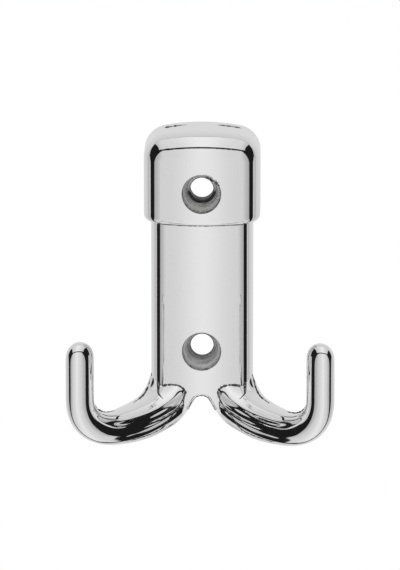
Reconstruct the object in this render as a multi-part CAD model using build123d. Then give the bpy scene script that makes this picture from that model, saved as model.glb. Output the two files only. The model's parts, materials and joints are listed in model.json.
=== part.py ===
from build123d import *
import os
from math import copysign, cos, pi, radians, sin

os.makedirs("parts", exist_ok=True)

# Double coat hook, a small zinc die casting. Its four regions are solids that seat face to
# face: head_block, shank, left_hook and right_hook. X runs to the right, Z up, and the wall
# is the plane Y = 0 with the hook on its -Y side. The origin lies on the wall, midway between
# the two screw holes. Lengths are in millimetres, angles in degrees.

# Screw holes
SCREW_PITCH = 32.0  # between the two screw axes
SCREW_BORE = 4.5  # diameter of the plain bore
SEAT_RIM = 7.8  # diameter of the sunk seat at the face
SEAT_THROAT = 5.4  # diameter of the sunk seat where it meets the bore
HEAD_SEAT_DEPTH = 4.4
HEAD_BORE_LENGTH = 2.5
SHANK_SEAT_DEPTH = 5.2
SHANK_BORE_LENGTH = 1.0
BOSS_DIAMETER = 9.2  # boss round each screw hole in the hollow back

# Shank
SHANK_WIDTH = 19.8
SHANK_DEPTH = 11.0  # wall plane to the crest of the front
SHANK_CORNER = 4.0  # rounding between front and side
FRONT_RADIUS = 24.0  # the front is gently convex from side to side
FOOT_BELOW_SCREW = 12.6  # lower screw axis down to the bottom of the foot
FOOT_CORNER = 4.6
NOTCH_BELOW_SCREW = 8.8  # lower screw axis down to the crown of the notch
NOTCH_RADIUS = 2.0
NOTCH_SPREAD = 28.0  # angle from upright at which the notch widens downwards
NOTCH_STRAIGHT = 2.6  # straight length of each flank, below which it curves out along the hook
NOTCH_SWEEP = 9.5  # radius of that curve
NOTCH_TURN = 42.0  # angle through which the flank turns

# Head block
HEAD_STEP = 1.4  # how far the block stands proud of the shank all round
CROWN_ABOVE_SCREW = 11.5  # upper screw axis up to the crown
SHOULDER_BELOW_SCREW = 6.5  # upper screw axis down to the shoulder
CROWN_RADIUS = 40.0  # the top is arched from side to side
HEAD_CORNER = 5.0  # rounding between top and sides
HEAD_EDGE = 4.7  # rounding of the front edge, up the sides and over the top
HEAD_LIP = 1.2  # rounding of the lower edge, above the shoulder

# Hollow back
WALL = 2.6
RIB = 2.0  # cross rib half way between the screw holes
POCKET_CORNER = 1.2

# Hooks: each lies in an upright plane that runs outwards and forwards from the foot
TIP_SPREAD = 46.5  # between the axes of the two tips
TIP_REACH = 24.5  # wall plane to the axis of a tip
TIP_RISE = 19.05  # lowest point of the centre line up to the top of the tip
TURN_RISE = 7.6  # lowest point of the centre line up to where the tip runs straight
BELLY_BELOW_SCREW = 13.5  # lower screw axis down to the lowest point of the centre line
BELLY_SHARE = 0.645  # how far out that point lies, as a share of the hook's run
ROOT_OFFSET = 2.1  # start of the centre line, beside the middle plane
ROOT_REACH = 7.25  # start of the centre line, in front of the wall plane
ROOT_BELOW_SCREW = 8.55  # start of the centre line, below the lower screw axis
ROOT_FALL = 33.0  # angle below level at which the centre line sets out
FALL_HANDLE = 0.4  # handles of the curve down to the lowest point, as a share of its length outwards
TURN_HANDLE = 0.6  # last handle of the curve up into the tip, as a share of the turn's rise
ROOT_WIDTH = 9.6
ROOT_THICKNESS = 7.5
ROOT_SQUARENESS = 6.0  # exponent of the rounded section: 2 is an ellipse
TIP_WIDTH = 4.8
TIP_THICKNESS = 5.8
TIP_SQUARENESS = 2.2
TIP_DOME = 3.0  # height of the domed end

# How the section changes along the bend, in shares of the way from the root to the straight tip
BUD_SIZE = 0.7  # size of the very start, buried in the shank, as a share of the full section
BUD_END = 0.12
SLIM_START = 0.1  # the width falls to the tip's width from here on
THIN_START = 0.2  # the thickness falls from here on
ROUND_END = 0.7  # the section is as round as the tip from here on
FLARE = 0.4  # how much the wall side of the root rises, to sweep up the side of the shank
FLARE_START = 0.08
FLARE_END = 0.26

SECTION_POINTS = 20
FALLING_SECTIONS = 7
RISING_SECTIONS = 7
STRAIGHT_SECTIONS = 3
DOME_LATITUDES = (25, 45, 62, 76, 85)

# Places that follow from the sizes above
upper_screw_z = SCREW_PITCH / 2
lower_screw_z = -SCREW_PITCH / 2
shoulder_z = upper_screw_z - SHOULDER_BELOW_SCREW
crown_z = upper_screw_z + CROWN_ABOVE_SCREW
foot_z = lower_screw_z - FOOT_BELOW_SCREW
notch_z = lower_screw_z - NOTCH_BELOW_SCREW
head_width = SHANK_WIDTH + 2 * HEAD_STEP
head_depth = SHANK_DEPTH + HEAD_STEP


def sagitta(radius, width):
    """How far an arc of this radius falls away over half of the width."""
    return radius - (radius**2 - (width / 2) ** 2) ** 0.5


def plan(width, depth, front_radius, corner=0.0):
    """Level section: flat at the wall, straight sides and a convex front."""
    half = width / 2
    side = depth - sagitta(front_radius, width)
    back = Polyline((-half, -side), (-half, 0), (half, 0), (half, -side))
    front = ThreePointArc((half, -side), (0, -depth), (-half, -side))
    face = make_face([back, front])
    if corner > 0:
        face = fillet(face.vertices().sort_by(Axis.Y)[:2], corner)
    return face


def column(face, bottom_z, top_z):
    """The level section run upright between two heights."""
    return extrude(Pos(0, 0, bottom_z) * face, top_z - bottom_z, dir=(0, 0, 1))


def screw_hole(screw_z, front_depth, seat_depth):
    """A steep sunk seat from the front, and a plain bore on through the back."""
    rim = SEAT_RIM / 2
    throat = SEAT_THROAT / 2
    bore = SCREW_BORE / 2
    seat_end = front_depth - seat_depth
    widening = (rim - throat) / seat_depth * seat_end
    profile = Polyline(
        (0, front_depth + seat_end),
        (rim + widening, front_depth + seat_end),
        (throat, seat_end),
        (bore, seat_end),
        (bore, -seat_end),
        (0, -seat_end),
        close=True,
    )
    return Pos(0, 0, screw_z) * Rot(180, 0, 0) * revolve(make_face(profile), Axis.Y)


def hollow(width, depth, bottom_z, top_z, screw_z, boss_depth):
    """The cored back, which leaves the wall all round and a boss round the screw hole."""
    core = column(plan(width - 2 * WALL, depth - WALL, FRONT_RADIUS, POCKET_CORNER), bottom_z, top_z)
    core = fillet(core.edges().filter_by(Axis.Y), POCKET_CORNER)
    boss = Cylinder(BOSS_DIAMETER / 2, boss_depth, align=(Align.CENTER, Align.CENTER, Align.MIN))
    return core - Pos(0, -depth, screw_z) * Rot(-90, 0, 0) * boss


def head_outside():
    """The block: arched over the top, well rounded in front, with a lip at its lower edge."""
    block = column(plan(head_width, head_depth, FRONT_RADIUS + HEAD_STEP), shoulder_z, crown_z + HEAD_EDGE)
    crown = Rot(90, 0, 0) * Cylinder(CROWN_RADIUS, 4 * head_depth)
    block &= Pos(0, 0, crown_z - CROWN_RADIUS) * crown
    block = fillet(block.edges().filter_by(Axis.Y).sort_by(Axis.Z)[-2:], HEAD_CORNER)
    clear_of_back = block.edges().filter_by(lambda edge: edge.bounding_box().max.Y < -HEAD_EDGE)
    front_rim = clear_of_back.filter_by(lambda edge: edge.bounding_box().max.Z > upper_screw_z)
    block = fillet(front_rim, HEAD_EDGE)
    level = block.edges().filter_by(lambda edge: edge.bounding_box().max.Z < shoulder_z + HEAD_LIP / 2)
    lower_rim = level.filter_by(lambda edge: edge.center().Y < -HEAD_LIP / 2)
    return fillet(lower_rim, HEAD_LIP)


def head_block():
    pocket_top = crown_z - sagitta(CROWN_RADIUS, head_width) - WALL
    boss_depth = HEAD_SEAT_DEPTH + HEAD_BORE_LENGTH
    back = hollow(head_width, head_depth, shoulder_z + WALL, pocket_top, upper_screw_z, boss_depth)
    return head_outside() - back - screw_hole(upper_screw_z, head_depth, HEAD_SEAT_DEPTH)


def notch():
    """The arched gap between the roots of the hooks, right through from front to back."""
    crown = Vector(0, notch_z)
    arch = CenterArc((0, notch_z - NOTCH_RADIUS), NOTCH_RADIUS, 90, NOTCH_SPREAD - 90)
    flank = Line(arch @ 1, arch @ 1 + arch % 1 * NOTCH_STRAIGHT)
    sweep_centre = flank @ 1 + (flank % 1).rotate(Axis.Z, 90) * NOTCH_SWEEP
    sweep = CenterArc(sweep_centre, NOTCH_SWEEP, 180 + NOTCH_SPREAD, NOTCH_TURN)
    run_out = Line(sweep @ 1, sweep @ 1 + sweep % 1 * BELLY_BELOW_SCREW)
    floor = Polyline(run_out @ 1, (0, (run_out @ 1).Y), crown)
    half = make_face([arch, flank, sweep, run_out, floor])
    gap = extrude(Plane.XZ * half, 2 * TIP_REACH, both=True)
    return gap + mirror(gap, Plane.YZ)


def shank_outside():
    """The upright below the head block, down to its rounded foot with the notch in it."""
    upright = column(plan(SHANK_WIDTH, SHANK_DEPTH, FRONT_RADIUS, SHANK_CORNER), foot_z, shoulder_z)
    front_view = Pos(0, foot_z) * Rectangle(
        SHANK_WIDTH, shoulder_z - foot_z, align=(Align.CENTER, Align.MIN)
    )
    front_view = fillet(front_view.vertices().sort_by(Axis.Y)[:2], FOOT_CORNER)
    return (upright & extrude(Plane.XZ * front_view, 2 * SHANK_DEPTH, both=True)) - notch()


def shank():
    """The upright with its cored back, its cross rib and its screw hole."""
    boss_depth = SHANK_SEAT_DEPTH + SHANK_BORE_LENGTH
    back = hollow(SHANK_WIDTH, SHANK_DEPTH, notch_z + WALL, shoulder_z, lower_screw_z, boss_depth)
    back -= Box(SHANK_WIDTH, 2 * SHANK_DEPTH, RIB)
    return shank_outside() - back - screw_hole(lower_screw_z, SHANK_DEPTH, SHANK_SEAT_DEPTH)


def ease(value, start, end):
    """Smooth step: 0 up to the start, 1 from the end on."""
    t = min(max((value - start) / (end - start), 0.0), 1.0)
    return t * t * (3 - 2 * t)


def between(first, last, share):
    return first + (last - first) * share


def superellipse(value, squareness):
    return copysign(abs(value) ** (2 / squareness), value)


def hook_section(centre, heading, across, way, size=1.0):
    """A rounded section square to the centre line; way is 0 at the root and 1 at the straight tip."""
    inside = across.cross(heading)
    size *= between(BUD_SIZE, 1, ease(way, 0, BUD_END))
    width = between(ROOT_WIDTH, TIP_WIDTH, ease(way, SLIM_START, 1))
    offset = (width - TIP_WIDTH) / 2  # the inner flank stays straight, and the wall side tapers
    half_width = size * width / 2
    half_thickness = size * between(ROOT_THICKNESS, TIP_THICKNESS, ease(way, THIN_START, 1)) / 2
    squareness = between(ROOT_SQUARENESS, TIP_SQUARENESS, ease(way, 0, ROUND_END))
    flare = FLARE * (1 - ease(way, FLARE_START, FLARE_END))
    points = []
    for step in range(SECTION_POINTS):
        turn = 2 * pi * step / SECTION_POINTS
        u = offset + half_width * superellipse(cos(turn), squareness)
        v = half_thickness * superellipse(sin(turn), squareness)
        if v > 0:
            v *= 1 + flare * (1 + cos(turn)) / 2
        points.append(centre + across * u + inside * v)
    return make_face(Spline(*points, periodic=True))


def left_hook_whole():
    """Sections lofted along the centre line, from inside the shank to the domed tip."""
    root = Vector(-ROOT_OFFSET, -ROOT_REACH, 0)
    tip = Vector(-TIP_SPREAD / 2, -TIP_REACH, 0)
    outward = (tip - root).normalized()
    up = Vector(0, 0, 1)
    across = outward.cross(up)
    run = (tip - root).length
    belly = BELLY_SHARE * run
    root_z = lower_screw_z - ROOT_BELOW_SCREW
    belly_z = lower_screw_z - BELLY_BELOW_SCREW
    turn_z = belly_z + TURN_RISE
    tip_z = belly_z + TIP_RISE

    def place(along, height):
        return root + outward * along + up * height

    handle = FALL_HANDLE * belly
    fall = radians(ROOT_FALL)
    falling = Bezier(
        place(0, root_z),
        place(handle * cos(fall), root_z - handle * sin(fall)),
        place(belly - handle, belly_z),
        place(belly, belly_z),
    )
    rising = Bezier(
        place(belly, belly_z),
        place((belly + run) / 2, belly_z),
        place(run, turn_z - TURN_HANDLE * TURN_RISE),
        place(run, turn_z),
    )
    straight = Line(place(run, turn_z), place(run, tip_z - TIP_DOME))
    bend = falling.length + rising.length

    sections = []
    for step in range(FALLING_SECTIONS):
        t = step / FALLING_SECTIONS
        sections.append(hook_section(falling @ t, falling % t, across, t * falling.length / bend))
    for step in range(RISING_SECTIONS):
        t = step / RISING_SECTIONS
        way = (falling.length + t * rising.length) / bend
        sections.append(hook_section(rising @ t, rising % t, across, way))
    for step in range(STRAIGHT_SECTIONS + 1):
        sections.append(hook_section(straight @ (step / STRAIGHT_SECTIONS), up, across, 1))
    for latitude in DOME_LATITUDES:
        rise = TIP_DOME * sin(radians(latitude))
        centre = place(run, tip_z - TIP_DOME + rise)
        sections.append(hook_section(centre, up, across, 1, cos(radians(latitude))))
    sections.append(Vertex(*place(run, tip_z)))
    return loft(sections)


def left_hook():
    """The part of the hook that stands clear of the shank, seated on its front, side and foot."""
    pieces = left_hook_whole() - shank_outside() - notch()
    return pieces.solids().sort_by(SortBy.VOLUME)[-1]


hook = left_hook()
pieces = {
    "head_block": head_block(),
    "shank": shank(),
    "left_hook": hook,
    "right_hook": mirror(hook, Plane.YZ),
}
for name, piece in pieces.items():
    piece.label = name
    export_step(piece, f"parts/{name}.step")
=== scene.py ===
import bpy
import bmesh
import json
from math import atan2, cos, degrees, pi, radians, sin
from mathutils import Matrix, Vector, noise


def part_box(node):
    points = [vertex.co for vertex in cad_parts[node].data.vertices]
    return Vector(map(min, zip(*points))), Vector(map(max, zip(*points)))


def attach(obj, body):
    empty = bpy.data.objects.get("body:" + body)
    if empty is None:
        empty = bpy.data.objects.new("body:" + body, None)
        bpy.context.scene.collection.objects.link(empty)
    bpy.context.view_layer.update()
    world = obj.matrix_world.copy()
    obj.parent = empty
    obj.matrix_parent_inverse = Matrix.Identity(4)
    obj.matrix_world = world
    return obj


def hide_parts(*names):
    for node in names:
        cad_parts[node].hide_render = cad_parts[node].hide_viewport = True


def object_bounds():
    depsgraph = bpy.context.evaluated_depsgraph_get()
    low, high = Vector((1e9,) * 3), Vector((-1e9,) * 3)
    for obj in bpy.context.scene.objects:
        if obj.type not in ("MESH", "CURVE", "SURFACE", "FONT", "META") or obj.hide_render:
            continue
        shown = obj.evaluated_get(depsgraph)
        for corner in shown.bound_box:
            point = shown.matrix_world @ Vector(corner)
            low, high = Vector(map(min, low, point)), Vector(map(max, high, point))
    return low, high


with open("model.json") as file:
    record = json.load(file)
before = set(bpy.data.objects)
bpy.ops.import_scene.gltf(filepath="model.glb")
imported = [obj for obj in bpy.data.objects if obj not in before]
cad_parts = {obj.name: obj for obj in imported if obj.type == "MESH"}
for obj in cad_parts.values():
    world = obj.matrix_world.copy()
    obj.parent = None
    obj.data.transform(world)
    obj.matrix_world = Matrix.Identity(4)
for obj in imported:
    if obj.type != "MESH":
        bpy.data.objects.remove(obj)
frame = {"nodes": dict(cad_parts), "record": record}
cad_low, cad_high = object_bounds()

# ---------------------------------------------------------------- head block and shank
# The upper end of the hook is a stepped block over a plain upright, both of the one zinc die
# casting. The faces that show are polished and plated with bright chrome; inside the screw
# seats and the hollow back the plate is thin and the dull grey of the casting comes through.
# In the seats, shade is painted in near black at the lip, on the ledge and in the screw hole,
# and a painted highlight brightens a ring just inside the rim.
MM = 0.001
CHROME = (0.90, 0.90, 0.90, 1)
PLATE_RELIEF = 0.012 * MM  # depth of the unevenness that polishing leaves
HAZE_SIZE = 1.2 * MM
HAZE_SPAN = (0.42, 0.75)  # noise values between which the plate goes from smoothest to roughest
WAVE_SIZE = 5.0 * MM
RIPPLE_SIZE = 0.9 * MM
SEAT_RIM = 3.84 * MM  # radius of the sunk screw seats
LEDGE = 2.80 * MM  # radius of the narrow ledge at their inner end
BORE = 2.25 * MM  # radius of the screw hole
CHIP_SIZE = 0.5 * MM
CHIP_DEPTH = 0.16 * MM  # how far the chipped plate strays from the round edges
PLATE_END = (0.10, 0.06)  # the bright plate ends here, in millimetres outside the seat's rim
LIP = (-0.16, 0.02)  # painted shade darkens the lip outwards between these, off the rim
LIP_PATCHES = (0.38, 0.62, 0.3, 1.0)  # from and to which noise value, and how dark it is at each
HIGHLIGHT_INNER = (-0.60, -0.40)  # a painted highlight brightens a ring between these, off the rim
HIGHLIGHT_OUTER = (-0.18, -0.30)
HIGHLIGHT_SHARE = 0.6
HIGHLIGHT_GREY = (0.95, 0.95, 0.95, 1)
LEDGE_EDGE = (0.10, 0.0)  # the shade on the ledge ends here, off the ledge's radius
LEDGE_LOWER_HALF = (0.4 * MM, -0.8 * MM)  # it lies below the middle of each seat
LEDGE_SHADE = (0.0, 1.0 * MM, 0.3, 1.0)  # and is weaker in the lower seat than in the upper one
BORE_EDGE = (0.30, 0.18)  # the shade in the screw hole ends here, off the bore
BORE_SHADE = 0.85
# near black of the painted shade in the seats
SHADED = (0.03, 0.03, 0.03, 1)
POCKET_SIDE = 8.8 * MM  # half the width of the hollow back
POCKET_DEPTH = (-8.3 * MM, -0.3 * MM)
POCKET_RISE = (-22.3 * MM, 24.6 * MM)
POCKET_EDGE = 0.05 * MM
MOTTLE_SIZE = 1.4 * MM
MOTTLE = ((0.30, (0.36, 0.36, 0.36, 1)), (0.72, (0.86, 0.86, 0.855, 1)))  # noise value and grey
DULLNESS = (0.3, 0.8, 0.42, 0.62)  # from and to which noise value, and how rough it is at each
BARE_METAL = 0.25  # metallic share where the plate is thin
seat_height = frame["record"]["mounts"][1]["pos_m"][2]


class Wiring:
    """Adds nodes to one tree, fed from each other or with plain numbers."""

    def __init__(self, tree):
        self.tree = tree

    def add(self, kind, *values, **settings):
        """A node with these settings, its inputs filled in order."""
        made = self.tree.nodes.new(kind)
        for name, value in settings.items():
            setattr(made, name, value)
        for socket, value in zip(made.inputs, values):
            self.feed(socket, value)
        return made

    def feed(self, socket, value):
        if isinstance(value, bpy.types.NodeSocket):
            self.tree.links.new(value, socket)
        elif value is not None:
            socket.default_value = value

    def figure(self, operation, *values):
        return self.add("ShaderNodeMath", *values, operation=operation).outputs[0]

    def rise(self, value, start, end, low=0.0, high=1.0):
        """A smooth rise from low to high while the value goes from start to end."""
        ramp = self.add("ShaderNodeMapRange", value, start, end, low, high, interpolation_type="SMOOTHSTEP")
        return ramp.outputs[0]

    def blend(self, share, first, second, kind="RGBA"):
        """The first where the share is 0 and the second where it is 1."""
        made = self.add("ShaderNodeMix", data_type=kind)
        for name, value in (("Factor", share), ("A", first), ("B", second)):
            self.feed(made.inputs[name], value)
        return made.outputs["Result"]

    def shades(self, value, stops, interpolation="LINEAR"):
        """A colour that follows a value through pairs of value and colour."""
        ramp = self.add("ShaderNodeValToRGB", value)
        scale = ramp.color_ramp
        scale.interpolation = interpolation
        while len(scale.elements) < len(stops):
            scale.elements.new(0.5)
        for element, (spot, colour) in zip(scale.elements, stops):
            element.position = spot
            element.color = colour
        return ramp.outputs["Color"]

    def grain(self, place, size, detail, roughness=0.5):
        """Noise with features of about this size."""
        texture = self.add("ShaderNodeTexNoise", noise_dimensions="3D")
        self.feed(texture.inputs["Vector"], place)
        texture.inputs["Scale"].default_value = 1 / size
        texture.inputs["Detail"].default_value = detail
        texture.inputs["Roughness"].default_value = roughness
        return texture.outputs["Fac"]


def casting_finish():
    """Node group: the unevenness that polishing leaves on a plated casting."""
    group = bpy.data.node_groups.new("casting_finish", "ShaderNodeTree")
    for name, value in (("Smoothest", 0.03), ("Roughest", 0.10), ("Waviness", 1.0), ("Ripple", 0.1)):
        socket = group.interface.new_socket(name, in_out="INPUT", socket_type="NodeSocketFloat")
        socket.default_value = value
    for name in ("Roughness", "Height"):
        group.interface.new_socket(name, in_out="OUTPUT", socket_type="NodeSocketFloat")
    wiring = Wiring(group)
    given = wiring.add("NodeGroupInput").outputs
    place = wiring.add("ShaderNodeTexCoord").outputs["Object"]
    haze = wiring.grain(place, HAZE_SIZE, detail=4.0)
    roughness = wiring.rise(haze, *HAZE_SPAN, given["Smoothest"], given["Roughest"])
    waves = wiring.grain(place, WAVE_SIZE, detail=1.0)
    ripples = wiring.grain(place, RIPPLE_SIZE, detail=2.0)
    height = wiring.figure("MULTIPLY_ADD", ripples, given["Ripple"], waves)
    height = wiring.figure("MULTIPLY", height, given["Waviness"])
    result = wiring.add("NodeGroupOutput")
    wiring.feed(result.inputs["Roughness"], roughness)
    wiring.feed(result.inputs["Height"], height)
    return group


finish_group = casting_finish()


def plated(name, waviness, ripple=0.1):
    """Bright chrome material; returns it with its wiring, its shader and its finish group."""
    finish = bpy.data.materials.new(name)
    finish.use_nodes = True
    wiring = Wiring(finish.node_tree)
    plate = finish.node_tree.nodes["Principled BSDF"]
    plate.inputs["Base Color"].default_value = CHROME
    plate.inputs["Metallic"].default_value = 1.0
    uneven = wiring.add("ShaderNodeGroup", node_tree=finish_group)
    uneven.inputs["Waviness"].default_value = waviness
    uneven.inputs["Ripple"].default_value = ripple
    bump = wiring.add("ShaderNodeBump")
    bump.inputs["Strength"].default_value = 1.0
    bump.inputs["Distance"].default_value = PLATE_RELIEF
    wiring.feed(bump.inputs["Height"], uneven.outputs["Height"])
    wiring.feed(plate.inputs["Normal"], bump.outputs["Normal"])
    wiring.feed(plate.inputs["Roughness"], uneven.outputs["Roughness"])
    return finish, wiring, plate, uneven


plating, wiring, plate, uneven = plated("chrome_on_casting", waviness=1.0)
place = wiring.add("ShaderNodeTexCoord").outputs["Object"]
x, y, z = wiring.add("ShaderNodeSeparateXYZ", place).outputs
sideways = wiring.figure("ABSOLUTE", x)
above = wiring.figure("SUBTRACT", wiring.figure("ABSOLUTE", z), seat_height)
off_axis = wiring.add("ShaderNodeCombineXYZ", x, above, 0.0).outputs[0]
radius = wiring.add("ShaderNodeVectorMath", off_axis, operation="LENGTH").outputs["Value"]
chips = wiring.grain(place, CHIP_SIZE, detail=3.0)
ragged = wiring.figure("MULTIPLY_ADD", chips, CHIP_DEPTH, radius)


def round_edge(edge, start, end, low=0.0, high=1.0):
    """A ragged rise between two distances off a round edge of the screw seats."""
    return wiring.rise(ragged, edge + start * MM, edge + end * MM, low, high)


in_seat = round_edge(SEAT_RIM, *PLATE_END)
# painted shade: a patchy near-black ring just inside the seat's rim
lip_shade = round_edge(SEAT_RIM, *LIP, 0.0, wiring.rise(chips, *LIP_PATCHES))
in_pocket = wiring.rise(sideways, POCKET_SIDE + POCKET_EDGE, POCKET_SIDE)
for value, (start, end) in ((y, POCKET_DEPTH), (z, POCKET_RISE)):
    inside = wiring.rise(value, start, start + POCKET_EDGE)
    inside = wiring.figure("MULTIPLY", inside, wiring.rise(value, end, end - POCKET_EDGE))
    in_pocket = wiring.figure("MULTIPLY", in_pocket, inside)
bare = wiring.figure("MAXIMUM", in_seat, in_pocket)
upward = wiring.figure("MULTIPLY", above, wiring.figure("SIGN", z))
# painted shade on the ledge in the lower half of each seat, and in the screw hole
shade_in_holes = wiring.figure("MULTIPLY", round_edge(LEDGE, *LEDGE_EDGE), wiring.rise(upward, *LEDGE_LOWER_HALF))
shade_in_holes = wiring.figure("MULTIPLY", shade_in_holes, wiring.rise(z, *LEDGE_SHADE))
shade_in_holes = wiring.figure("MAXIMUM", shade_in_holes, round_edge(BORE, *BORE_EDGE, 0.0, BORE_SHADE))
# painted highlight: a brighter ring just inside the seat's rim
rim_highlight = round_edge(SEAT_RIM, *HIGHLIGHT_OUTER, 0.0, HIGHLIGHT_SHARE)
rim_highlight = wiring.figure("MULTIPLY", round_edge(SEAT_RIM, *HIGHLIGHT_INNER), rim_highlight)
# all the painted shade in the seats: lip, ledge and screw hole
dark = wiring.figure("MAXIMUM", wiring.figure("MULTIPLY", lip_shade, in_seat), shade_in_holes)
mottle = wiring.grain(place, MOTTLE_SIZE, detail=5.0, roughness=0.65)
casting_grey_and_painted_light = wiring.blend(rim_highlight, wiring.shades(mottle, MOTTLE), HIGHLIGHT_GREY)
casting_grey_and_painted_light = wiring.blend(dark, casting_grey_and_painted_light, SHADED)
wiring.feed(plate.inputs["Base Color"], wiring.blend(bare, CHROME, casting_grey_and_painted_light))
wiring.feed(plate.inputs["Metallic"], wiring.rise(bare, 0.0, 1.0, 1.0, BARE_METAL))
dull = wiring.rise(mottle, *DULLNESS)
wiring.feed(plate.inputs["Roughness"], wiring.blend(bare, uneven.outputs["Roughness"], dull, "FLOAT"))
for name in ("head_block", "shank", "left_hook", "right_hook"):
    for surface in frame["nodes"][name].material_slots:
        surface.material = plating

# ---------------------------------------------------------------- hooks
# Two arms run outwards and forwards from the foot of the shank and turn up into domed tips.
# They belong to the same casting; the seams where they leave the shank are left sharp by
# polishing, and the arms are plated in the same bright chrome.

# Sizes are in millimetres. Spans are shares of the way along the bend, from root to tip.
SPREAD = 46.5  # between the middles of the two tips
REACH = 24.5  # from the wall to the middle of a tip
BELLY_Z = -29.5  # the lowest point of the middle line
BELLY_SHARE = 0.645  # and where it lies on the way out to the tip
RISE = 19.05  # from there to the top of the dome
TURN = 7.6  # height over which the middle line turns upright
ROOT = Vector((-1.6, -7.25, -24.3))  # where the middle line starts, inside the shank
ROOT_FALL = radians(33)  # how steeply it falls there
FALL_HANDLE = 0.4
TURN_HANDLE = 0.6
BOW = 0.6  # how far the arm bows towards the wall, half way out
FALL_STEPS = 24
TURN_STEPS = 14
STEM_STEPS = 6
DOME = 3.0
DOME_LATITUDES = (18, 35, 50, 63, 74, 82)
RING = 96  # points round a section
SMOOTHING = 2
ROOT_WIDTH = 9.6
TIP_WIDTH = 4.8
WIDTH_SPAN = (0.1, 1)
ROOT_THICKNESS = 7.5
TIP_THICKNESS = 5.8
THICKNESS_SPAN = (0.2, 1)
ROOT_SIZE = 0.9  # the root starts a little smaller
ROOT_SPAN = (0, 0.12)
ROOT_SQUARENESS = 3.0  # 2 is a plain oval, more is squarer
ARM_SQUARENESS = 2.25
TIP_SQUARENESS = 2.1
ARM_SPAN = (0.08, 0.3)
TIP_SPAN = (0.4, 0.75)
FLARE = 0.45  # the wall side stands up at the root, in half thicknesses
FLARE_SPAN = (0.08, 0.24)
WAIST = 0.12  # and is a little hollow further out
WAIST_SPAN = (0.2, 0.35, 0.5, 0.8)
ROOT_UNDERSIDE = 0.25  # the underside is nearly flat where it leaves the shank
UNDERSIDE_SPAN = (-0.1, 0.22)
KEEL = 0.21  # the underside swells below the seam, in half thicknesses
KEEL_SPAN = (0.05, 0.25, 0.30, 0.80)
KEEL_SIDE = (0.1, 0.7)
WEB = 3.3  # radius of the fillet between the arm's wall side and the shank
WEB_LEAD = 0.35  # how far into its curve the fillet starts
WEB_START = (-0.9, -0.1)
WEB_SIDE = (-0.2, 0.4)
WEB_TOP = (0, 0.4)
SEAM_START = 0.5  # height of the seam on the inner flank, in half thicknesses, at the shank
SEAM_END = 0.05  # and further out
SEAM_SPAN = (0.06, 0.2)
SEAM_DEPTH = 0.6
SEAM_WIDTH = 0.12
SEAM_FADE = (0.15, 0.5)
RIDGE_HEIGHT = 0.10  # faint ridges that polishing left along the inner flank
RIDGE_PITCH = 1.4
RIDGE_SPAN = (0.12, 0.25, 0.55, 0.75)
RIDGE_SIDE = (0.5, 0.8)
RIDGE_DRIFT = 4  # how far they drift round the section along the bend
RIDGE_PATCH = 0.4  # how often they grow and fade, per millimetre
RIDGE_CHANGE = 0.4
FRONT = 11.0  # crest of the shank's front, from the wall
FRONT_RADIUS = 24.0
CORNER_RADIUS = 4.0
SHANK_HALF = 9.9
CORNER_X = SHANK_HALF - CORNER_RADIUS
CORNER_Y = FRONT - FRONT_RADIUS + ((FRONT_RADIUS - CORNER_RADIUS) ** 2 - CORNER_X**2) ** 0.5


def clear_of_shank(spot):
    """How far a place lies outside the shank's rounded corner or side."""
    beside = max(abs(spot.x) - CORNER_X, 0)
    before = max(-spot.y - CORNER_Y, 0)
    return Vector((beside, before)).length - CORNER_RADIUS


def ease(value, start, end):
    """Smooth step: 0 up to the start, 1 from the end on."""
    t = min(max((value - start) / (end - start), 0.0), 1.0)
    return t * t * (3 - 2 * t)


def between(value, start, full, wane, end):
    """0 outside the start and the end, and 1 from full to wane."""
    return ease(value, start, full) * (1 - ease(value, wane, end))


def mixed(first, last, share):
    return first + (last - first) * share


def on_curve(handles, t):
    """The place and the direction on a cubic curve."""
    a, b, c, d = handles
    s = 1 - t
    where = a * s**3 + b * 3 * s * s * t + c * 3 * s * t * t + d * t**3
    way = (b - a) * s * s + (c - b) * 2 * s * t + (d - c) * t * t
    return where, way.normalized()


def hook_stations():
    """Centre, direction, wall side, way along the bend and size of each section, root to dome."""
    tip = Vector((-SPREAD / 2, -REACH, 0))
    start = Vector((ROOT.x, ROOT.y, 0))
    outward = (tip - start).normalized()
    run = (tip - start).length
    belly = BELLY_SHARE * run
    top = BELLY_Z + RISE

    def spot(along, height):
        return start + outward * along + Vector((0, 0, height))

    handle = FALL_HANDLE * belly
    falling = (
        spot(0, ROOT.z),
        spot(handle * cos(ROOT_FALL), ROOT.z - handle * sin(ROOT_FALL)),
        spot(belly - handle, BELLY_Z),
        spot(belly, BELLY_Z),
    )
    turn_z = BELLY_Z + TURN
    rising = (
        spot(belly, BELLY_Z),
        spot((belly + run) / 2, BELLY_Z),
        spot(run, turn_z - TURN_HANDLE * TURN),
        spot(run, turn_z),
    )
    places = [on_curve(falling, step / FALL_STEPS) for step in range(FALL_STEPS)]
    places += [on_curve(rising, step / TURN_STEPS) for step in range(TURN_STEPS)]
    lengths = [0.0]
    ends = [where for where, _ in places] + [rising[3]]
    for first, second in zip(ends, ends[1:]):
        lengths.append(lengths[-1] + (second - first).length)
    stations = [[where, way, length / lengths[-1], 1.0] for (where, way), length in zip(places, lengths)]
    up = Vector((0, 0, 1))
    for step in range(STEM_STEPS):
        stations.append([spot(run, mixed(turn_z, top - DOME, step / (STEM_STEPS - 1))), up, 1.0, 1.0])
    for latitude in DOME_LATITUDES:
        rise = DOME * sin(radians(latitude))
        stations.append([spot(run, top - DOME + rise), up, 1.0, cos(radians(latitude))])
    wall_side = outward.cross(up)
    for station in stations:
        where, heading = station[:2]
        share = (where - start).dot(outward) / run
        slope = 4 * BOW * (1 - 2 * share) / run
        station[0] = where + wall_side * 4 * BOW * share * (1 - share)
        station[1] = (heading + wall_side * slope * heading.dot(outward)).normalized()
        station.insert(2, (outward + wall_side * slope).normalized().cross(up))
    return stations, spot(run, top)


def seam_height(way):
    """Height of the seam on the inner flank, in half thicknesses."""
    return mixed(SEAM_START, SEAM_END, ease(way, *SEAM_SPAN))


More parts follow.
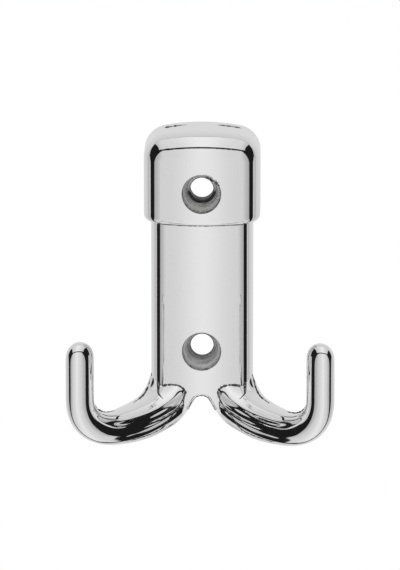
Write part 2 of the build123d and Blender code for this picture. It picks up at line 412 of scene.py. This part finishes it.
def section_point(turn, centre, heading, across, way, size=1.0):
    """One point of a rounded section square to the centre line."""
    inside = across.cross(heading)
    size *= mixed(ROOT_SIZE, 1, ease(way, *ROOT_SPAN))
    width = mixed(ROOT_WIDTH, TIP_WIDTH, ease(way, *WIDTH_SPAN))
    offset = (width - TIP_WIDTH) / 2
    thickness = size * mixed(ROOT_THICKNESS, TIP_THICKNESS, ease(way, *THICKNESS_SPAN))
    squareness = mixed(ROOT_SQUARENESS, ARM_SQUARENESS, ease(way, *ARM_SPAN))
    squareness = mixed(squareness, TIP_SQUARENESS, ease(way, *TIP_SPAN))
    stretch = (abs(cos(turn)) ** squareness + abs(sin(turn)) ** squareness) ** (-1 / squareness)
    u = stretch * cos(turn)
    v = stretch * sin(turn)
    recess = SEAM_DEPTH * (1 - ease(way, *SEAM_FADE)) * ease(seam_height(way) - v, 0, SEAM_WIDTH)
    if v > 0:
        flare = FLARE * (1 - ease(way, *FLARE_SPAN)) - WAIST * between(way, *WAIST_SPAN)
        v *= 1 + flare * (1 + cos(turn)) / 2
    else:
        v *= mixed(ROOT_UNDERSIDE, 1, ease(way, *UNDERSIDE_SPAN))
        v *= 1 + KEEL * between(way, *KEEL_SPAN) * ease(-cos(turn), *KEEL_SIDE)
    ridge = RIDGE_HEIGHT * between(way, *RIDGE_SPAN) * ease(-cos(turn), *RIDGE_SIDE)
    ridge *= sin(pi * v * thickness / RIDGE_PITCH + RIDGE_DRIFT * way)
    ridge *= 1 + RIDGE_CHANGE * noise.noise(centre * RIDGE_PATCH)
    along = offset + size * width / 2 * u + max(-u, 0) * recess + ridge
    spot = centre + across * along + inside * (v * thickness / 2)
    if v > 0:
        out = clear_of_shank(spot)
        web = WEB - (WEB**2 - (WEB - min(max(out, 0) + WEB_LEAD, WEB)) ** 2) ** 0.5
        spot.z += web * ease(out, *WEB_START) * ease(cos(turn), *WEB_SIDE) * ease(v, *WEB_TOP)
    return spot


def hook_skin(name, side):
    """Rings run out along the bend, closed at the root and drawn together at the top of the dome."""
    stations, top = hook_stations()
    mesh = bmesh.new()
    number = mesh.verts.layers.int.new("number")
    ring = bmesh.ops.create_circle(mesh, segments=RING, radius=1.0)["verts"]
    for index, vert in enumerate(ring):
        vert[number] = index
    for station in stations:
        if station is not stations[0]:
            edges = [edge for edge in mesh.edges if all(vert in ring for vert in edge.verts)]
            grown = bmesh.ops.extrude_edge_only(mesh, edges=edges)["geom"]
            ring = [vert for vert in grown if isinstance(vert, bmesh.types.BMVert)]
        else:
            bmesh.ops.contextual_create(mesh, geom=ring)
        for vert in ring:
            turn = 2 * pi * vert[number] / RING
            vert.co = section_point(turn, *station)
    bmesh.ops.pointmerge(mesh, verts=ring, merge_co=top)
    bmesh.ops.scale(mesh, vec=Vector((-side, 1, 1)) * MM, verts=mesh.verts)
    bmesh.ops.recalc_face_normals(mesh, faces=mesh.faces)
    for face in mesh.faces:
        face.smooth = True
    shape = bpy.data.meshes.new(name)
    mesh.to_mesh(shape)
    mesh.free()
    piece = bpy.data.objects.new(name, shape)
    bpy.context.collection.objects.link(piece)
    smooth = piece.modifiers.new("smooth", "SUBSURF")
    smooth.levels = SMOOTHING
    smooth.render_levels = SMOOTHING
    piece.data.materials.append(arm_plating)
    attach(piece, "root")
    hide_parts(name.replace("_arm", "_hook"))
    return piece


arm_plating = plated("chrome_on_arms", waviness=2.0, ripple=0.2)[0]
arms = {side: hook_skin(name, side) for name, side in (("left_arm", -1), ("right_arm", 1))}

# ---------------------------------------------------------------- dark lines on the hooks
# Ragged near-black beads are painted on the hooks: painted shade in the tight corners where
# the arms leave the shank, and painted dark reflections along their edges, over their tops,
# inside the bend and under them.

# Radii are in millimetres. Places on an arm are pairs of way along the bend and degrees round it.
CREASE_RADIUS = 0.19
CREASE_SPAN = (-30, 150)  # from the arm's outer side over its top, degrees round its middle
CREASE_OUTER = 7.9  # the crease stays this close to the shank's middle
CREASE_START = 0.15  # share of the radius with which it starts
CREASE_GROWTH = 0.1  # share of its points over which it grows to its full radius
SEAM_LINE_END = 0.42  # from the crease, the line runs on along the seam to here
SEAM_LINE_LOSS = 0.85
FOOT_RADIUS = 0.14
FOOT_SPAN = (150, 190)  # on from the crease and down the arm's inner side
EDGE_RADIUS = 0.22
EDGE_LOSS = 0.7
EDGE = ((0.152, 54), (0.222, 66), (0.302, 76), (0.40, 82))  # along the arm's wall side
BEND_RADIUS = 0.17
BEND_LOSS = 0.8
BEND = ((0.58, 84), (0.64, 82), (0.746, 96), (0.85, 114), (0.907, 110), (0.93, 108))  # inside the bend
DARK_BAND_RADIUS = 0.42
DARK_BAND_LOSS = 0.85
DARK_BAND_RAGGEDNESS = 0.3
DARK_BAND = (  # painted dark reflection, from the wall side over the top towards the seam
    (0.150, 84), (0.161, 86), (0.176, 90), (0.193, 96), (0.212, 103),
    (0.226, 109), (0.234, 116), (0.237, 124), (0.237, 132),
)
UNDERLINE_RADIUS = 0.12
UNDERLINE_LOSS = 0.6
UNDERLINE = ((0.07, -179), (0.116, -178), (0.23, -170), (0.323, -148), (0.454, -146), (0.56, -140))
BEAD_STEP = 0.012  # between points of a line, as a share of the bend
BEAD_WANDER = 0.10  # how far a line strays to its sides
BEAD_WANDER_PITCH = 2.2  # and how often, per millimetre
BEAD_WANDER_SEED = 1
BEAD_SWELL = 1.1  # how much its radius changes
BEAD_SWELL_PITCH = 3.1
BEAD_SWELL_START = 3.7
BEAD_THINNEST = 0.25
BEAD_ROUNDNESS = 2
SAME_PLACE = 1e-7
SHADE_LINE_SPECK = 0.35 * MM
SHADE_LINE_RELIEF = 0.03 * MM
SHADE_LINE_TONES = ((0.45, (0.03, 0.03, 0.03, 1)), (0.75, (0.45, 0.45, 0.45, 1)))  # noise value and grey
SHADE_LINE_ROUGHNESS = (0.3, 0.8, 0.7, 0.35)  # from and to which noise value, and the figure at each
SHADE_LINE_METAL = (0.5, 0.8, 0.2, 0.9)


def front_face(x):
    """How far in front of the wall the shank's face lies at this distance from its middle."""
    x = abs(x)
    if x < CORNER_X * FRONT_RADIUS / (FRONT_RADIUS - CORNER_RADIUS):
        return FRONT - FRONT_RADIUS + (FRONT_RADIUS**2 - x**2) ** 0.5
    return CORNER_Y + max(CORNER_RADIUS**2 - (x - CORNER_X) ** 2, 0) ** 0.5


def crease_path(arm, side, span):
    """Where the arm comes out of the shank's face, between two angles round its middle."""
    finished = arm.evaluated_get(bpy.context.evaluated_depsgraph_get())
    mesh = bmesh.new()
    mesh.from_mesh(finished.to_mesh())
    finished.to_mesh_clear()
    for vert in mesh.verts:
        vert.co.y += front_face(vert.co.x / MM) * MM
    geometry = mesh.verts[:] + mesh.edges[:] + mesh.faces[:]
    cut = bmesh.ops.bisect_plane(mesh, geom=geometry, dist=SAME_PLACE, plane_co=(0, 0, 0), plane_no=(0, 1, 0))
    spots = [vert.co.copy() for vert in cut["geom_cut"] if isinstance(vert, bmesh.types.BMVert)]
    mesh.free()
    middle = sum(spots, Vector()) / len(spots)
    path = []
    for spot in spots:
        angle = (degrees(atan2(spot.z - middle.z, side * (spot.x - middle.x))) + 90) % 360 - 90
        if span[0] < angle < span[1] and abs(spot.x) < CREASE_OUTER * MM:
            spot.y = -front_face(spot.x / MM) * MM
            path.append((angle, spot))
    return [spot for angle, spot in sorted(path, key=lambda pair: pair[0])]


# near-black, speckled material of all the painted shade and painted reflection beads
shade_line_paint = bpy.data.materials.new("painted_shade_lines")
shade_line_paint.use_nodes = True
wiring = Wiring(shade_line_paint.node_tree)
shader = shade_line_paint.node_tree.nodes["Principled BSDF"]
place = wiring.add("ShaderNodeTexCoord").outputs["Object"]
specks = wiring.grain(place, SHADE_LINE_SPECK, detail=3.0)
wiring.feed(shader.inputs["Base Color"], wiring.shades(specks, SHADE_LINE_TONES))
wiring.feed(shader.inputs["Roughness"], wiring.rise(specks, *SHADE_LINE_ROUGHNESS))
wiring.feed(shader.inputs["Metallic"], wiring.rise(specks, *SHADE_LINE_METAL))
bump = wiring.add("ShaderNodeBump")
bump.inputs["Distance"].default_value = SHADE_LINE_RELIEF
wiring.feed(bump.inputs["Height"], specks)
wiring.feed(shader.inputs["Normal"], bump.outputs["Normal"])


def ragged_line(name, spots, radii, finish, raggedness=1.0):
    """A thin bead of uneven width along these points."""
    curve = bpy.data.curves.new(name, "CURVE")
    curve.dimensions = "3D"
    curve.bevel_depth = MM  # the points' radii are in millimetres
    curve.bevel_resolution = BEAD_ROUNDNESS
    curve.use_fill_caps = True
    line = curve.splines.new("POLY")
    line.points.add(len(spots) - 1)
    for point, spot, radius in zip(line.points, spots, radii):
        where = Vector(spot) / MM
        shift = noise.noise_vector(where * BEAD_WANDER_PITCH) * BEAD_WANDER * raggedness
        patch = noise.noise(where * BEAD_SWELL_PITCH + Vector((BEAD_SWELL_START, 0, 0)))
        swell = 1 + BEAD_SWELL * patch * raggedness
        point.co = ((where + shift) * MM).to_4d()
        point.radius = radius * max(swell, BEAD_THINNEST)
    drawn = bpy.data.objects.new(name, curve)
    bpy.context.collection.objects.link(drawn)
    shape = bpy.data.meshes.new_from_object(drawn)
    shape.name = name
    bpy.data.objects.remove(drawn)
    bead = bpy.data.objects.new(name, shape)
    bpy.context.collection.objects.link(bead)
    for face in shape.polygons:
        face.use_smooth = True
    shape.materials.clear()
    shape.materials.append(finish)
    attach(bead, "root")


def tapered(radius, count, loss, power=1):
    """Radii along a bead, full in its middle and less by this share at its ends."""
    return [radius * (1 - loss * abs(2 * index / (count - 1) - 1) ** power) for index in range(count)]


def on_skin(side, way, turn):
    """A place on the arm's skin, at this share of the bend and this turn round the section."""
    stations = hook_stations()[0]
    for before, after in zip(stations, stations[1:]):
        if before[3] <= way <= after[3]:
            break
    share = (way - before[3]) / (after[3] - before[3])
    centre, heading, across = (before[k].lerp(after[k], share) for k in range(3))
    spot = section_point(turn, centre, heading, across, way) * MM
    return Vector((-side * spot.x, spot.y, spot.z))


def along_arm(side, first, last, turn_at):
    """Places on the arm's skin between two shares of the bend, at the turn given for each."""
    count = round((last - first) / BEAD_STEP)
    ways = [mixed(first, last, step / count) for step in range(count + 1)]
    return [on_skin(side, way, turn_at(way)) for way in ways]


def through(side, pairs):
    """Places on the arm's skin along a line that goes evenly through pairs of way and degrees."""
    def turn_at(way):
        for (first, start), (last, end) in zip(pairs, pairs[1:]):
            if way <= last:
                break
        return radians(mixed(start, end, (way - first) / (last - first)))
    return along_arm(side, pairs[0][0], pairs[-1][0], turn_at)


def on_seam(way):
    return pi - atan2(seam_height(way) - SEAM_WIDTH / 2, 1)


noise.seed_set(BEAD_WANDER_SEED)  # so that the lines stray in the same way on every run
for name, side in (("left", -1), ("right", 1)):
    foot = crease_path(arms[side], side, FOOT_SPAN)
    ragged_line(name + "_foot", foot, [FOOT_RADIUS] * len(foot), shade_line_paint)
    seam = along_arm(side, 0.0, SEAM_LINE_END, on_seam)
    seam = [spot for spot in seam if -spot.y > front_face(spot.x / MM) * MM]
    crease = [spot for spot in crease_path(arms[side], side, CREASE_SPAN) if spot.z > seam[0].z]
    growth = CREASE_GROWTH * len(crease + seam)
    shares = [mixed(CREASE_START, 1, ease(index, 0, growth)) for index in range(len(crease))]
    shares += [1 - SEAM_LINE_LOSS * ease(index, 0, len(seam)) for index in range(len(seam))]
    radii = [CREASE_RADIUS * share for share in shares]
    ragged_line(name + "_crease", crease + seam, radii, shade_line_paint)
    edge = through(side, EDGE)
    ragged_line(name + "_edge", edge, tapered(EDGE_RADIUS, len(edge), EDGE_LOSS), shade_line_paint)
    bend = through(side, BEND)
    ragged_line(name + "_bend", bend, tapered(BEND_RADIUS, len(bend), BEND_LOSS, 2), shade_line_paint)
    # painted dark reflection that carries the shank's dark band on over the arm's top
    dark_band = [on_skin(side, way, radians(turn)) for way, turn in DARK_BAND]
    radii = [DARK_BAND_RADIUS * (1 - DARK_BAND_LOSS * index / (len(dark_band) - 1)) for index in range(len(dark_band))]
    ragged_line(name + "_fold", dark_band, radii, shade_line_paint, DARK_BAND_RAGGEDNESS)
    under = through(side, UNDERLINE)
    ragged_line(name + "_underline", under, tapered(UNDERLINE_RADIUS, len(under), UNDERLINE_LOSS), shade_line_paint)

# ---------------------------------------------------------------- shoulder line
# The head block stands a little proud of the shank that it is cast with. A fine dark line of
# painted shade lies in the corner under its lower edge.
SHOULDER_RADIUS = 0.12
SHOULDER_HALF = 0.995 * SHANK_HALF
SHOULDER_PROUD = 0.05  # in front of the shank's face
SHOULDER_DROP = 0.12 * MM
SHOULDER_RAGGEDNESS = 0.6
SHOULDER_STEPS = 60
SHOULDER_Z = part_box("head_block")[0][2]
spots = []
for step in range(SHOULDER_STEPS + 1):
    x = (2 * step / SHOULDER_STEPS - 1) * SHOULDER_HALF
    spots.append(Vector((x * MM, -(front_face(x) + SHOULDER_PROUD) * MM, SHOULDER_Z - SHOULDER_DROP)))
ragged_line("shoulder_line", spots, [SHOULDER_RADIUS] * len(spots), shade_line_paint, SHOULDER_RAGGEDNESS)

# ---------------------------------------------------------------- painted line on the top
# A broken dark line, thinnest in its middle, is painted across the top of the head block near
# the wall: a painted reflection that thickens the dark band reflected there.
TOP_LINE_Y = -2.3 * MM
TOP_LINE_HALF = 7.6 * MM
TOP_LINE_RADIUS = 0.11
TOP_LINE_MIDDLE = 0.35  # share of the radius in the middle
TOP_LINE_SPAN = (0.2, 0.7)  # it grows to its full radius between these shares of its half length
TOP_LINE_END = (0.9, 1.05)  # and runs out between these
TOP_LINE_SUNK = 0.17 * MM  # stays this far below the highest point of the block
TOP_LINE_STEPS = 70
FAR_OFF = 50 * MM
head_block = frame["nodes"]["head_block"]


def struck(start, way):
    """Where a ray in object space strikes the head block."""
    return head_block.ray_cast(start, way)[1]


spots = []
radii = []
for step in range(TOP_LINE_STEPS + 1):
    share = 2 * step / TOP_LINE_STEPS - 1
    spot = struck(Vector((share * TOP_LINE_HALF, TOP_LINE_Y, FAR_OFF)), Vector((0, 0, -1)))
    spots.append(Vector((spot.x, spot.y, min(spot.z, cad_high[2] - TOP_LINE_SUNK))))
    swell = mixed(TOP_LINE_MIDDLE, 1, ease(abs(share), *TOP_LINE_SPAN))
    radii.append(TOP_LINE_RADIUS * swell * (1 - ease(abs(share), *TOP_LINE_END)))
ragged_line("top_line", spots, radii, shade_line_paint)

# ---------------------------------------------------------------- burr at the upper screw seat
# Along part of the seat's rim the plate has built up and torn. It stands there as a burr of
# three short slivers side by side: the two outer ones in near black, as painted shade, and the
# one between them in bright chrome.
BURR = ((30, 80, -0.34, 0.13), (34, 86, 0.06, 0.11), (26, 66, -0.14, 0.10))  # from, to, off the rim, radius
BURR_STEP = 2  # degrees
BURR_RAGGEDNESS = 2.0
RIM_CLEARANCE = 0.4 * MM  # the block's face is found this far outside the seat
seat = Vector((0, 0, seat_height))
for index, (first, last, off, radius) in enumerate(BURR):
    spots = []
    for angle in range(first, last, BURR_STEP):
        outward = Vector((cos(radians(angle)), 0, sin(radians(angle))))
        beside_rim = seat + outward * (SEAT_RIM + RIM_CLEARANCE)
        face = struck(beside_rim - Vector((0, FAR_OFF, 0)), Vector((0, 1, 0)))
        spot = seat + outward * (SEAT_RIM + off * MM)
        spots.append(Vector((spot.x, face.y, spot.z)))
    # the outer slivers get the near-black painted shade, the middle one chrome
    metal = (shade_line_paint, arm_plating)[index % 2]
    ragged_line("seat_burr_%d" % (index + 1), spots, [radius] * len(spots), metal, BURR_RAGGEDNESS)

# ---------------------------------------------------------------- rim of the arch
# A small rolled rim, cast with the shank and plated like it, runs round the arch between the
# arms. A thin dark line of painted shade follows it along the shank's face.
ARCH_RADIUS = 2.0
ARCH_Z = -26.8
ARCH_END = 28  # degrees above level where the arch goes over into its straight flanks
ARCH_STEP = 4
FLANK = 2.2  # length of the flanks
FLANK_STEPS = 4
RIM_RADIUS = 0.30
RIM_BACK = RIM_RADIUS * 0.6  # how far the rim's middle lies behind the shank's face
RIM_LIFT = RIM_RADIUS * 0.4  # and above the edge of the arch
RIM_RAGGEDNESS = 0.15
ARCH_LINE = 0.11  # radius of the dark line
ARCH_LINE_PROUD = 0.02
ARCH_LINE_RAGGEDNESS = 0.5
half = []
for angle in range(90, ARCH_END, -ARCH_STEP):
    half.append((ARCH_RADIUS * cos(radians(angle)), ARCH_Z + ARCH_RADIUS * sin(radians(angle))))
end_x, end_z = half[-1]
for step in range(1, FLANK_STEPS + 1):
    run = FLANK * step / FLANK_STEPS
    half.append((end_x + run * sin(radians(ARCH_END)), end_z - run * cos(radians(ARCH_END))))
outline = [(-x, z) for x, z in reversed(half[1:])] + half
spots = [Vector((x, -front_face(x) + RIM_BACK, z + RIM_LIFT)) * MM for x, z in outline]
ragged_line("arch_rim", spots, [RIM_RADIUS] * len(spots), arm_plating, RIM_RAGGEDNESS)
# painted shade along the arch's edge on the shank's face
spots = [Vector((x, -front_face(x) - ARCH_LINE_PROUD, z)) * MM for x, z in outline]
ragged_line("arch_line", spots, [ARCH_LINE] * len(spots), shade_line_paint, ARCH_LINE_RAGGEDNESS)

# ---------------------------------------------------------------- studio
# A white light tent. One big soft light in front runs down and under the hook, a second one
# hangs overhead, and pale surroundings close the back. The dark slots between them give the
# chrome its black lines. The camera sees only white behind the hook.
FRONT_SIDE = Vector((0.378, 0.852, 0.360))  # plane along each side edge of the front light
FRONT_TOP = radians(43)  # its top edge, above the level
SIDE_FADE = (-0.09, -0.05)  # it fades towards its side edges
UNDER_START = -0.5  # below this it spreads sideways
UNDER_SPREAD = 0.25
SLOT_BELOW = 0.065  # width of the slot beside it, straight below
SLOT_GROWTH = 0.40  # and how it widens towards the level
TOP_SLOT = 0.12  # width of the slot between it and the overhead light
OVERHEAD_HALF_WIDTH = 0.74
REAR_SIDE = Vector((0.133, -0.946, 0.289))  # plane along each front edge of the surroundings
SOFT_EDGE = 0.012
FRONT_LEVELS = ((0.0, 0.861), (0.55, 0.70), (0.84, 0.48), (0.90, 0.37))  # by how far to the side
OVERHEAD_LEVELS = ((0.0, 0.92), (0.45, 0.75), (0.74, 0.60))
REAR_LEVELS = ((0.0, 0.64), (0.27, 0.50), (0.45, 0.68), (1.0, 0.74))  # by how far to the back
SLOT_LEVEL = 0.012

world = bpy.data.worlds.new("studio")
bpy.context.scene.world = world
world.use_nodes = True
tent = Wiring(world.node_tree)
direction = tent.add("ShaderNodeTexCoord").outputs["Generated"]
x, y, z = tent.add("ShaderNodeSeparateXYZ", direction).outputs
sideways = tent.figure("ABSOLUTE", x)


def side_of(plane):
    """How far a direction lies beyond a plane; the same to the left and to the right."""
    reach = tent.figure("MULTIPLY_ADD", y, plane.y, tent.figure("MULTIPLY", z, plane.z))
    return tent.figure("MULTIPLY_ADD", sideways, plane.x, reach)


def beyond(value, limit=0.0):
    """0 below the limit and 1 above it, with a soft edge."""
    return tent.rise(tent.figure("SUBTRACT", value, limit), -SOFT_EDGE, SOFT_EDGE)


def fall(value, stops):
    """A level that follows a value through pairs of value and level."""
    return tent.shades(value, [(spot, (level, level, level, 1)) for spot, level in stops], "EASE")


def both(first, second):
    return tent.figure("MULTIPLY", first, second)


def none_of(mask):
    return tent.figure("SUBTRACT", 1.0, mask)


def seen_directly(wiring):
    """1 for what the camera sees by itself, and 0 for light and reflections."""
    ray = wiring.add("ShaderNodeLightPath").outputs
    return wiring.figure("MAXIMUM", ray["Is Camera Ray"], ray["Is Transmission Ray"])


straight_down = tent.figure("MAXIMUM", tent.figure("SUBTRACT", UNDER_START, z), 0.0)
past_front = tent.figure("MULTIPLY_ADD", straight_down, -UNDER_SPREAD, side_of(FRONT_SIDE))
over_front = side_of(Vector((0, sin(FRONT_TOP), cos(FRONT_TOP))))
before_rear = side_of(REAR_SIDE)
in_front = both(none_of(tent.rise(past_front, *SIDE_FADE)), none_of(beyond(over_front)))
overhead = both(beyond(over_front, TOP_SLOT), none_of(beyond(sideways, OVERHEAD_HALF_WIDTH)))
overhead = both(overhead, beyond(before_rear))
below = tent.figure("ADD", tent.figure("MINIMUM", z, 0.0), 1.0)
slot = tent.figure("MULTIPLY_ADD", both(below, below), SLOT_GROWTH, SLOT_BELOW)
rear_above = both(beyond(z), none_of(beyond(before_rear)))
rear_below = both(none_of(beyond(z)), beyond(past_front, slot))
rear = tent.figure("ADD", rear_above, rear_below)
glow = both(in_front, fall(sideways, FRONT_LEVELS))
glow = tent.figure("MULTIPLY_ADD", overhead, fall(sideways, OVERHEAD_LEVELS), glow)
glow = tent.figure("MULTIPLY_ADD", rear, fall(tent.figure("MAXIMUM", y, 0.0), REAR_LEVELS), glow)
glow = tent.figure("MAXIMUM", glow, SLOT_LEVEL)
backdrop = world.node_tree.nodes["Background"]
backdrop.inputs["Color"].default_value = (1, 1, 1, 1)
tent.feed(backdrop.inputs["Strength"], tent.blend(seen_directly(tent), glow, 1.0, "FLOAT"))

# ---------------------------------------------------------------- floor
# A sheet of pale paper far below, which the hook on its wall doesn't touch. The camera sees it
# as white, and it neither lights the hook nor shows in the chrome.
FLOOR_Z = -3.0
FLOOR_SIZE = 12.0
FLOOR_SQUARES = 8
PAPER_COLOUR = (0.9, 0.9, 0.9, 1)
PAPER_ROUGHNESS = 0.9
mesh = bmesh.new()
bmesh.ops.create_grid(mesh, x_segments=FLOOR_SQUARES, y_segments=FLOOR_SQUARES, size=FLOOR_SIZE)
bmesh.ops.translate(mesh, vec=(0, 0, FLOOR_Z), verts=mesh.verts)
shape = bpy.data.meshes.new("floor")
mesh.to_mesh(shape)
mesh.free()
floor = bpy.data.objects.new("floor", shape)
bpy.context.collection.objects.link(floor)
paper = bpy.data.materials.new("white_paper")
paper.use_nodes = True
sheet = Wiring(paper.node_tree)
dye = paper.node_tree.nodes["Principled BSDF"]
dye.inputs["Base Color"].default_value = PAPER_COLOUR
dye.inputs["Roughness"].default_value = PAPER_ROUGHNESS
white = sheet.add("ShaderNodeEmission")
either = sheet.add("ShaderNodeMixShader", seen_directly(sheet), dye.outputs[0], white.outputs[0])
sheet.feed(paper.node_tree.nodes["Material Output"].inputs["Surface"], either.outputs[0])
shape.materials.append(paper)
floor.visible_glossy = False
floor.visible_diffuse = False

# ---------------------------------------------------------------- camera
# A long lens, a little above the hook and a touch to its right.
CAMERA_HEIGHT = radians(15)
CAMERA_TURN = radians(1.2)
CAMERA_DISTANCE = 1.50
CAMERA_NEAREST = 10 * MM
FRAME_WIDTH = 77.6 * MM
FRAMING = Vector((-0.24, 0.876)) * MM  # the middle of the frame, beside and above the object's middle
SENSOR = 36.0

towards = Vector((
    sin(CAMERA_TURN) * cos(CAMERA_HEIGHT), -cos(CAMERA_TURN) * cos(CAMERA_HEIGHT), sin(CAMERA_HEIGHT)
))
turned = towards.to_track_quat("Z", "Y")
eye = bpy.data.cameras.new("camera")
eye.sensor_fit = "HORIZONTAL"
eye.sensor_width = SENSOR
eye.lens = SENSOR * CAMERA_DISTANCE / FRAME_WIDTH
eye.clip_start = CAMERA_NEAREST
camera = bpy.data.objects.new("camera", eye)
bpy.context.collection.objects.link(camera)
middle = (Vector(cad_low) + Vector(cad_high)) / 2
aim = middle + turned @ Vector((FRAMING.x, FRAMING.y, 0))
camera.location = aim + towards * CAMERA_DISTANCE
camera.rotation_mode = "QUATERNION"
camera.rotation_quaternion = turned
bpy.context.scene.camera = camera
bpy.context.scene.view_settings.view_transform = "Standard"
